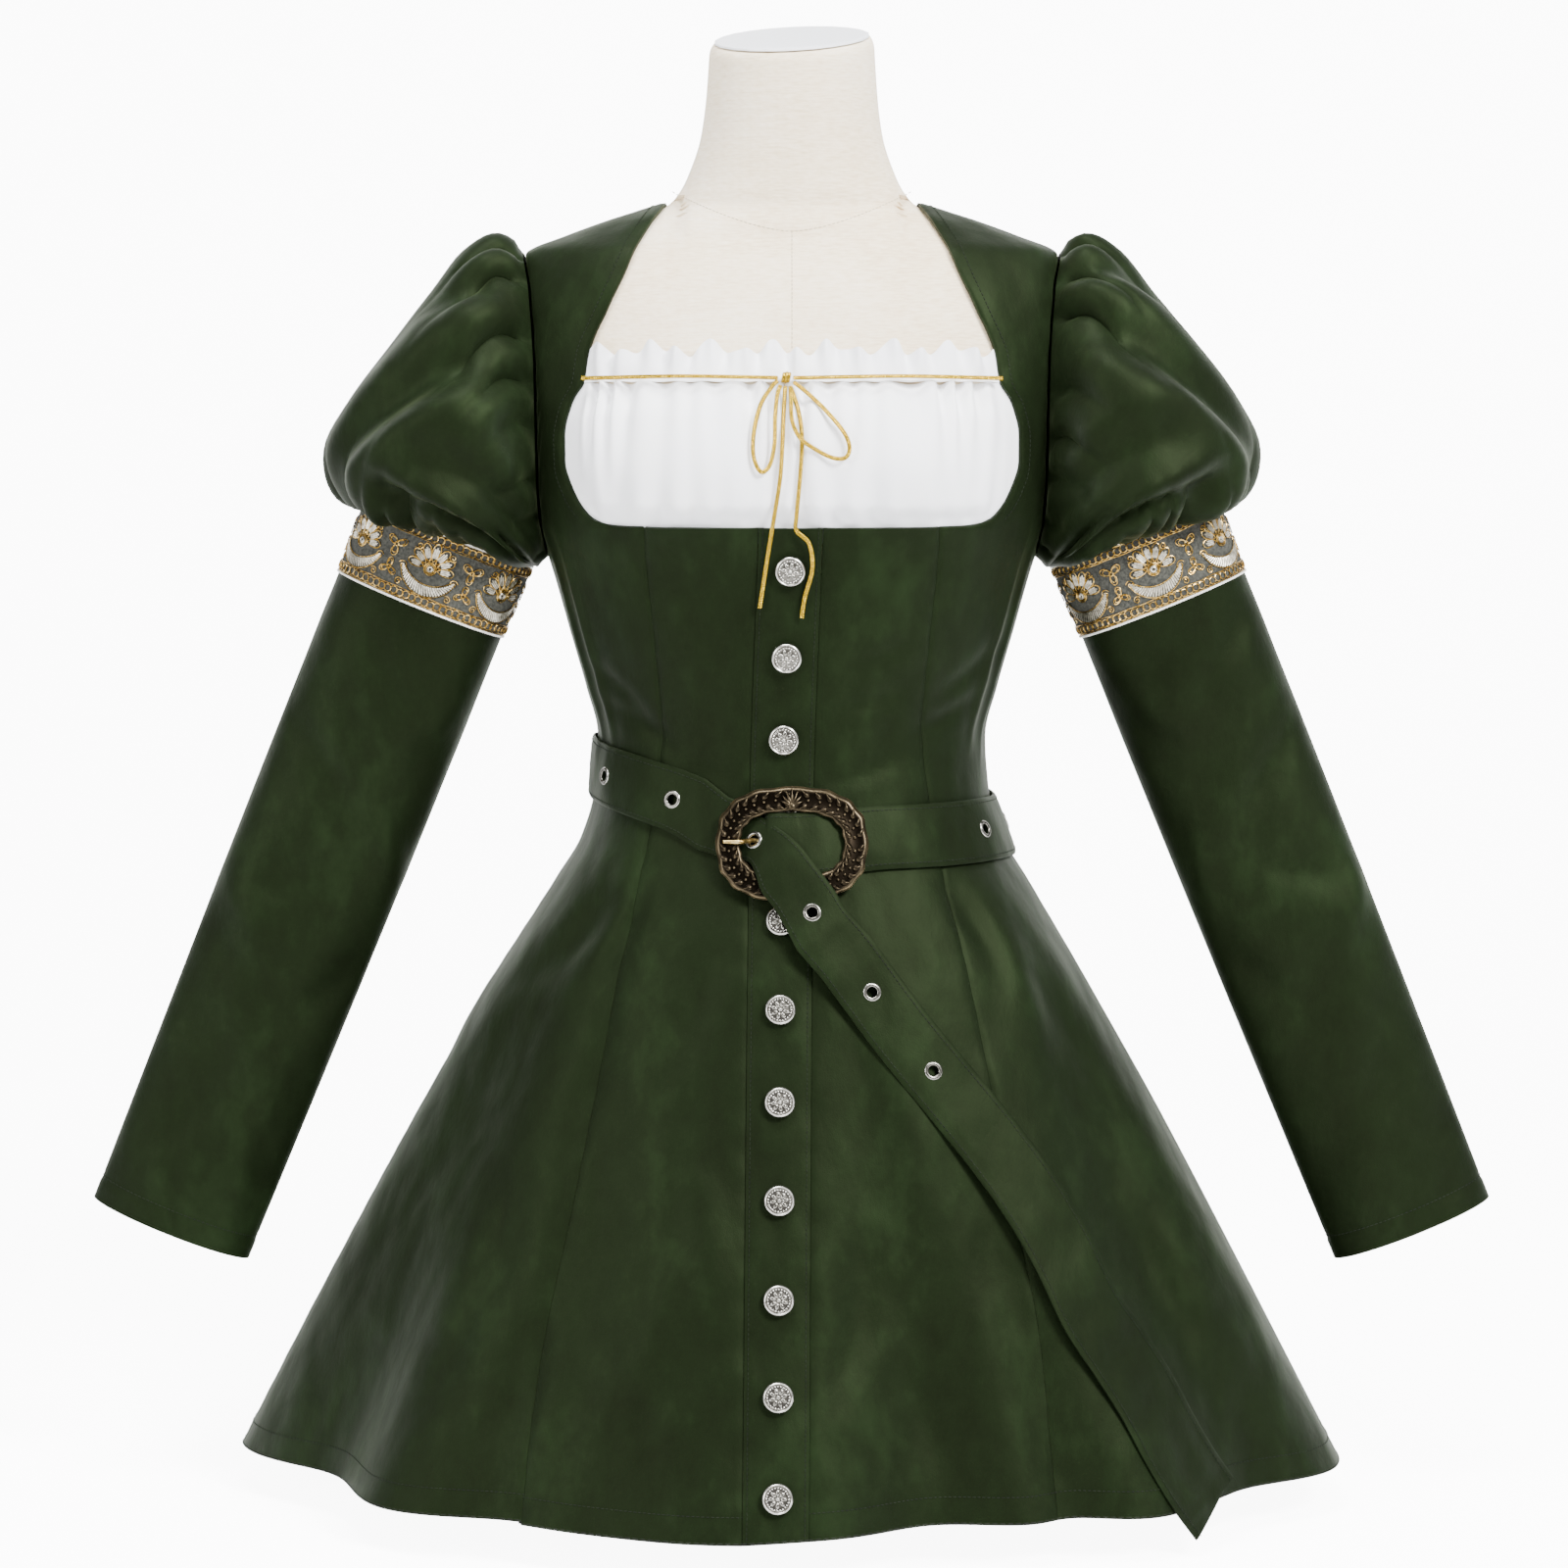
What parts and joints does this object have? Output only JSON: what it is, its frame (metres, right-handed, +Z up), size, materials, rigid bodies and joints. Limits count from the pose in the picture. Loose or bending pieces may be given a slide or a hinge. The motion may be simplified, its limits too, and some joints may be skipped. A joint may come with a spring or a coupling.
{
  "type": "velvet mini gown with puff sleeves, chemise insert and belt, on a limbless dress form",
  "caption": "Short flared velvet gown with puffed long sleeves, gathered white insert, buttoned front and slung belt, standing on a limbless dress form.",
  "frame": {"origin": "centre of the underside of the dress form's base plate, on the floor", "axes": "+Z up, the gown's front faces -Y, +X towards the viewer's right as seen from the front"},
  "size_m": [0.9194, 0.4879, 0.9544],
  "materials": {
    "velvet": "dark moss green pile velvet",
    "chemise_cotton": "fine white gathered cotton",
    "form_linen": "pale linen cover of the dress form",
    "form_cap_white": "smooth white neck cap",
    "white_steel": "white powder-coated steel",
    "metallic_trim": "net band embroidered in silver and gold thread",
    "gold_braid": "flat gold metallic braid",
    "silver_metal": "aged silver plate",
    "antique_brass": "dark antique brass"
  },
  "bodies": {
    "root": {"back": "velvet", "belt_strap": "velvet", "bow_knot": "gold_braid", "bow_loop_left": "gold_braid", "bow_loop_right": "gold_braid", "bow_tail_left": "gold_braid", "bow_tail_right": "gold_braid", "buckle_bar": "antique_brass", "buckle_frame": "antique_brass", "buckle_prong": "antique_brass", "button_01": "silver_metal", "button_02": "silver_metal", "button_03": "silver_metal", "button_04": "silver_metal", "button_05": "silver_metal", "button_06": "silver_metal", "button_07": "silver_metal", "button_08": "silver_metal", "button_09": "silver_metal", "button_10": "silver_metal", "button_11": "silver_metal", "chemise_insert": "chemise_cotton", "chemise_ruffle": "chemise_cotton", "drawstring_left": "gold_braid", "drawstring_right": "gold_braid", "eyelet_01": "silver_metal", "eyelet_02": "silver_metal", "eyelet_03": "silver_metal", "eyelet_04": "silver_metal", "eyelet_05": "silver_metal", "eyelet_06": "silver_metal", "eyelet_07": "silver_metal", "eyelet_08": "silver_metal", "eyelet_09": "silver_metal", "eyelet_10": "silver_metal", "eyelet_11": "silver_metal", "eyelet_12": "silver_metal", "eyelet_13": "silver_metal", "eyelet_14": "silver_metal", "form_base": "white_steel", "form_neck_cap": "form_cap_white", "form_pole": "white_steel", "form_torso": "form_linen", "front_left": "velvet", "front_right": "velvet", "placket": "velvet", "side_back_left": "velvet", "side_back_right": "velvet", "side_front_left": "velvet", "side_front_right": "velvet", "sleeve_band_left": "metallic_trim", "sleeve_band_right": "metallic_trim", "sleeve_lower_left": "velvet", "sleeve_lower_right": "velvet", "sleeve_puff_left": "velvet", "sleeve_puff_right": "velvet"}
  },
  "joints": []
}
